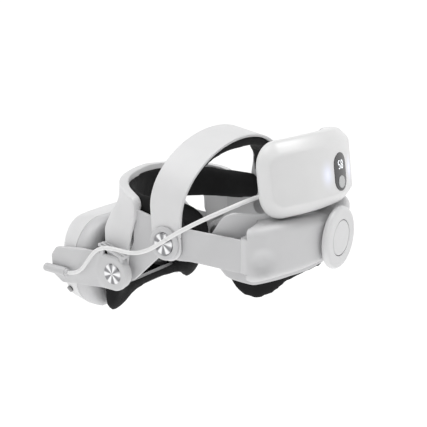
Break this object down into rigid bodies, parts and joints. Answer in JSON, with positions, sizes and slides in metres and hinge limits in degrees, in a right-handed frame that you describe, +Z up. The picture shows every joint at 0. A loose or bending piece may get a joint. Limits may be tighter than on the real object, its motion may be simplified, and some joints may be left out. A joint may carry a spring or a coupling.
{
  "type": "vr headset",
  "caption": "Head-worn VR visor on tilting side clips with a forehead band, a top strap, a dial-adjusted rear cradle and a lift-off rear battery pack.",
  "frame": {"origin": "midpoint of the axis of the two strap pivots, in the middle of the head opening, at the wearer's temples", "axes": "+X towards the wearer's left, +Y towards the back of the head, +Z up as worn; the visor faces -Y"},
  "size_m": [0.1957, 0.2813, 0.1931],
  "materials": {
    "white_shell": "satin moulded",
    "white_strap": "soft satin",
    "white_trim": "satin",
    "lead_jacket": "soft satin",
    "black_foam": "matte knit over foam",
    "black_lining": "matte knit",
    "black_gloss": "polished",
    "brushed_cap": "radially brushed",
    "button_grey": "satin",
    "pin_steel": "turned",
    "clear_lens": "polished",
    "display_panel": "gloss",
    "inner_black": "matte moulded",
    "board_green": "solder mask",
    "cell_foil": "foil",
    "contact_gold": "plated"
  },
  "bodies": {
    "frame": {"side_bracket_left": "white_trim", "side_bracket_right": "white_trim", "side_strap_left": "white_strap", "side_strap_right": "white_strap", "visor_pivot_pins": "pin_steel", "strap_pivot_pins": "pin_steel", "strap_collars": "white_trim", "strap_pivot_caps": "brushed_cap", "lead_rear": "lead_jacket"},
    "visor": {"camera_windows": "black_gloss", "side_camera_windows": "black_gloss", "visor_front_shell": "white_shell", "visor_rear_shell": "white_shell", "visor_screws": "pin_steel", "main_board": "board_green", "fan_housing": "inner_black", "visor_cell": "cell_foil", "speakers": "inner_black", "usb_port": "inner_black", "audio_jack": "inner_black", "eye_spacing_rails": "pin_steel", "front_clip_left": "white_shell", "front_clip_right": "white_shell", "cable_buckle": "white_trim", "visor_pivot_caps": "brushed_cap", "usb_plug": "white_trim", "lead_front": "lead_jacket"},
    "fan": {"fan_rotor": "inner_black"},
    "face": {"face_frame": "inner_black", "face_foam": "black_foam"},
    "eye_left": {"lens_left": "clear_lens", "display_left": "display_panel", "lens_carrier_left": "inner_black"},
    "eye_right": {"lens_right": "clear_lens", "display_right": "display_panel", "lens_carrier_right": "inner_black"},
    "eye_wheel": {"eye_spacing_wheel": "inner_black"},
    "power": {"power_button": "button_grey"},
    "volume": {"volume_rocker": "button_grey"},
    "forehead": {"forehead_band": "white_shell", "forehead_pad": "black_foam"},
    "crown": {"top_strap": "white_strap", "top_strap_lining": "black_lining"},
    "rear": {"rear_housing": "white_shell", "rear_cradle": "white_shell", "rear_pad": "black_foam", "battery_dock": "white_trim", "dock_screws": "pin_steel", "dock_contacts": "contact_gold"},
    "dial": {"fit_dial": "white_shell", "dial_cap": "white_shell", "dial_spindle": "pin_steel"},
    "rack_left": {"strap_rack_left": "inner_black"},
    "rack_right": {"strap_rack_right": "inner_black"},
    "battery": {"battery_window": "black_gloss", "battery_outer_case": "white_shell", "battery_inner_case": "white_shell", "battery_cells": "cell_foil", "battery_board": "board_green"},
    "pack_button": {"battery_button": "button_grey"}
  },
  "joints": [
    {"name": "visor_tilt", "type": "hinge", "parent": "frame", "child": "visor", "pos_m": [0, -0.057, -0.038], "axis": [-1, 0, 0], "range_deg": [-12, 4], "deforming": ["lead_front"]},
    {"name": "fan_spin", "type": "hinge", "parent": "visor", "child": "fan", "pos_m": [0, -0.1335, -0.025], "axis": [0, 1, 0], "continuous": true},
    {"name": "face_slide", "type": "slide", "parent": "visor", "child": "face", "axis": [0, 1, 0], "range_m": [0, 0.008]},
    {"name": "eye_left_slide", "type": "slide", "parent": "visor", "child": "eye_left", "axis": [1, 0, 0], "range_m": [-0.003, 0.003]},
    {"name": "eye_right_slide", "type": "slide", "parent": "visor", "child": "eye_right", "axis": [-1, 0, 0], "range_m": [-0.003, 0.003]},
    {"name": "eye_wheel_turn", "type": "hinge", "parent": "visor", "child": "eye_wheel", "pos_m": [0, -0.124, -0.082], "axis": [0, 1, 0], "range_deg": [-58, 58]},
    {"name": "power_press", "type": "slide", "parent": "visor", "child": "power", "axis": [0, 0, 1], "range_m": [0, 0.0008], "stiffness_N_per_m": 400, "springref_m": -0.001},
    {"name": "volume_rock", "type": "hinge", "parent": "visor", "child": "volume", "pos_m": [-0.046, -0.122, -0.087], "axis": [0, 1, 0], "range_deg": [-3, 3], "stiffness_Nm_per_rad": 0.05},
    {"name": "forehead_tilt", "type": "hinge", "parent": "frame", "child": "forehead", "pos_m": [0, -0.057, -0.038], "axis": [-1, 0, 0], "range_deg": [-4, 6]},
    {"name": "crown_swing", "type": "hinge", "parent": "frame", "child": "crown", "pos_m": [0, 0, 0], "axis": [-1, 0, 0], "range_deg": [-8, 20]},
    {"name": "rear_slide", "type": "slide", "parent": "frame", "child": "rear", "axis": [0, 1, 0], "range_m": [-0.008, 0.012], "deforming": ["side_strap_left", "side_strap_right", "lead_rear"]},
    {"name": "dial_turn", "type": "hinge", "parent": "rear", "child": "dial", "pos_m": [0, 0.12, 0.006], "axis": [0, 1, 0], "range_deg": [-77, 115]},
    {"name": "rack_left_slide", "type": "slide", "parent": "rear", "child": "rack_left", "axis": [1, 0, 0], "range_m": [-0.008, 0.012]},
    {"name": "rack_right_slide", "type": "slide", "parent": "rear", "child": "rack_right", "axis": [-1, 0, 0], "range_m": [-0.008, 0.012]},
    {"name": "battery_lift_off", "type": "slide", "parent": "rear", "child": "battery", "axis": [0, 0.9903, 0.1392], "range_m": [0, 0.04]},
    {"name": "battery_button_press", "type": "slide", "parent": "battery", "child": "pack_button", "axis": [0, -0.9903, -0.1392], "range_m": [0, 0.0006], "stiffness_N_per_m": 400, "springref_m": -0.001}
  ],
  "couplings": [
    {"joint": "eye_right_slide", "follows": "eye_left_slide", "ratio": 1},
    {"joint": "eye_wheel_turn", "follows": "eye_left_slide", "rad_per_m": 333.33},
    {"joint": "dial_turn", "follows": "rear_slide", "rad_per_m": 166.67},
    {"joint": "rack_left_slide", "follows": "rear_slide", "ratio": 1},
    {"joint": "rack_right_slide", "follows": "rear_slide", "ratio": 1}
  ]
}
